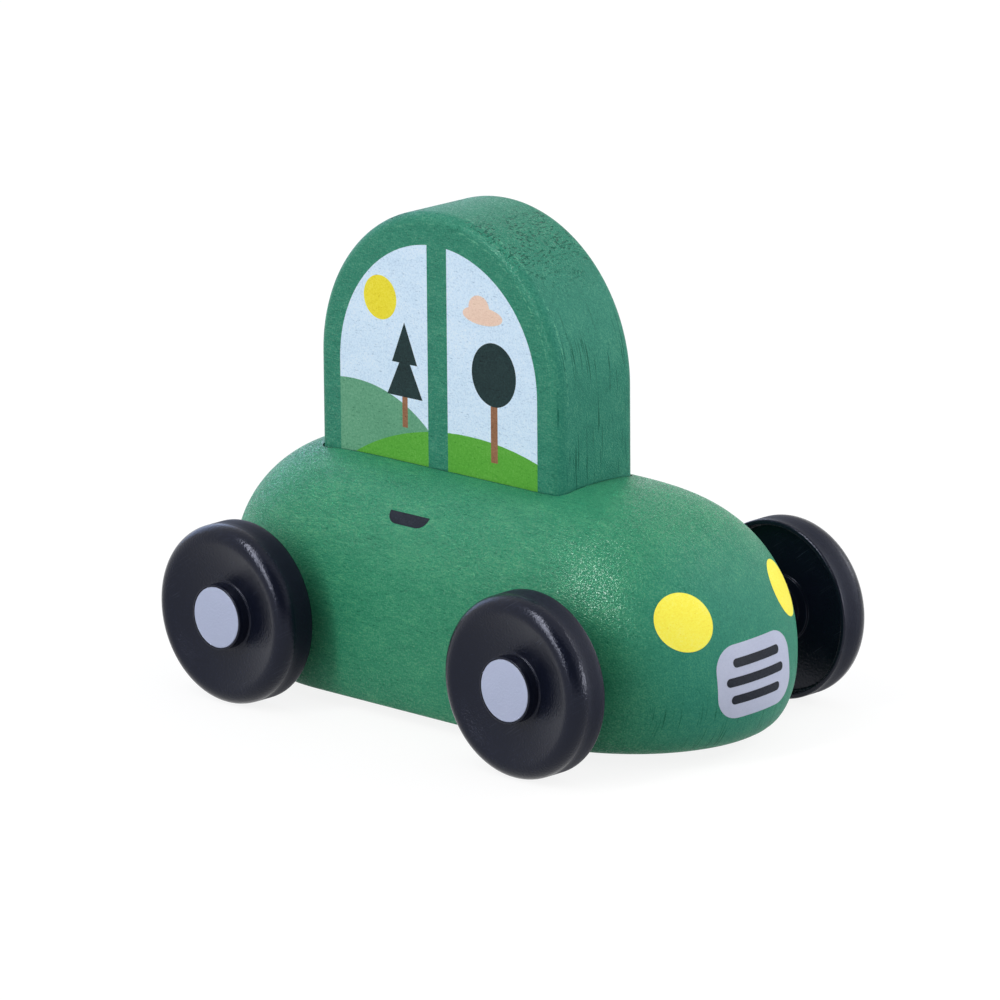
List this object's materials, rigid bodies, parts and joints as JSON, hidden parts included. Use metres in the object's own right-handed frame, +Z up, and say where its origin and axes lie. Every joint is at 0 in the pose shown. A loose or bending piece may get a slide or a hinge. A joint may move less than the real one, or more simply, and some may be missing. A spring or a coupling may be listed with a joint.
{
  "type": "toy car",
  "caption": "Rounded wooden toy car with a tall round-topped cab block and free-rolling moulded wheels on through axles.",
  "frame": {"origin": "on the floor, midway between the two axles and between the left and right wheels", "axes": "+X towards the nose of the car, +Y towards its left side, +Z up"},
  "size_m": [0.1084, 0.0718, 0.0816],
  "materials": {
    "green_wood": "satin",
    "bare_wood": "matte",
    "steel": "satin",
    "black_plastic": "satin",
    "grey_plastic": "satin"
  },
  "bodies": {
    "car_body": {"body_block": "green_wood", "cab_block": "green_wood", "cab_dowel_front": "bare_wood", "cab_dowel_rear": "bare_wood"},
    "front_wheelset": {"front_axle": "steel", "wheel_front_left": "black_plastic", "wheel_front_right": "black_plastic", "hub_cap_front_left": "grey_plastic", "hub_cap_front_right": "grey_plastic"},
    "rear_wheelset": {"rear_axle": "steel", "wheel_rear_left": "black_plastic", "wheel_rear_right": "black_plastic", "hub_cap_rear_left": "grey_plastic", "hub_cap_rear_right": "grey_plastic"}
  },
  "joints": [
    {"name": "front_wheels_roll", "type": "hinge", "parent": "car_body", "child": "front_wheelset", "pos_m": [0.0323, 0, 0.015], "axis": [0, 1, 0], "continuous": true},
    {"name": "rear_wheels_roll", "type": "hinge", "parent": "car_body", "child": "rear_wheelset", "pos_m": [-0.0323, 0, 0.015], "axis": [0, 1, 0], "continuous": true}
  ]
}
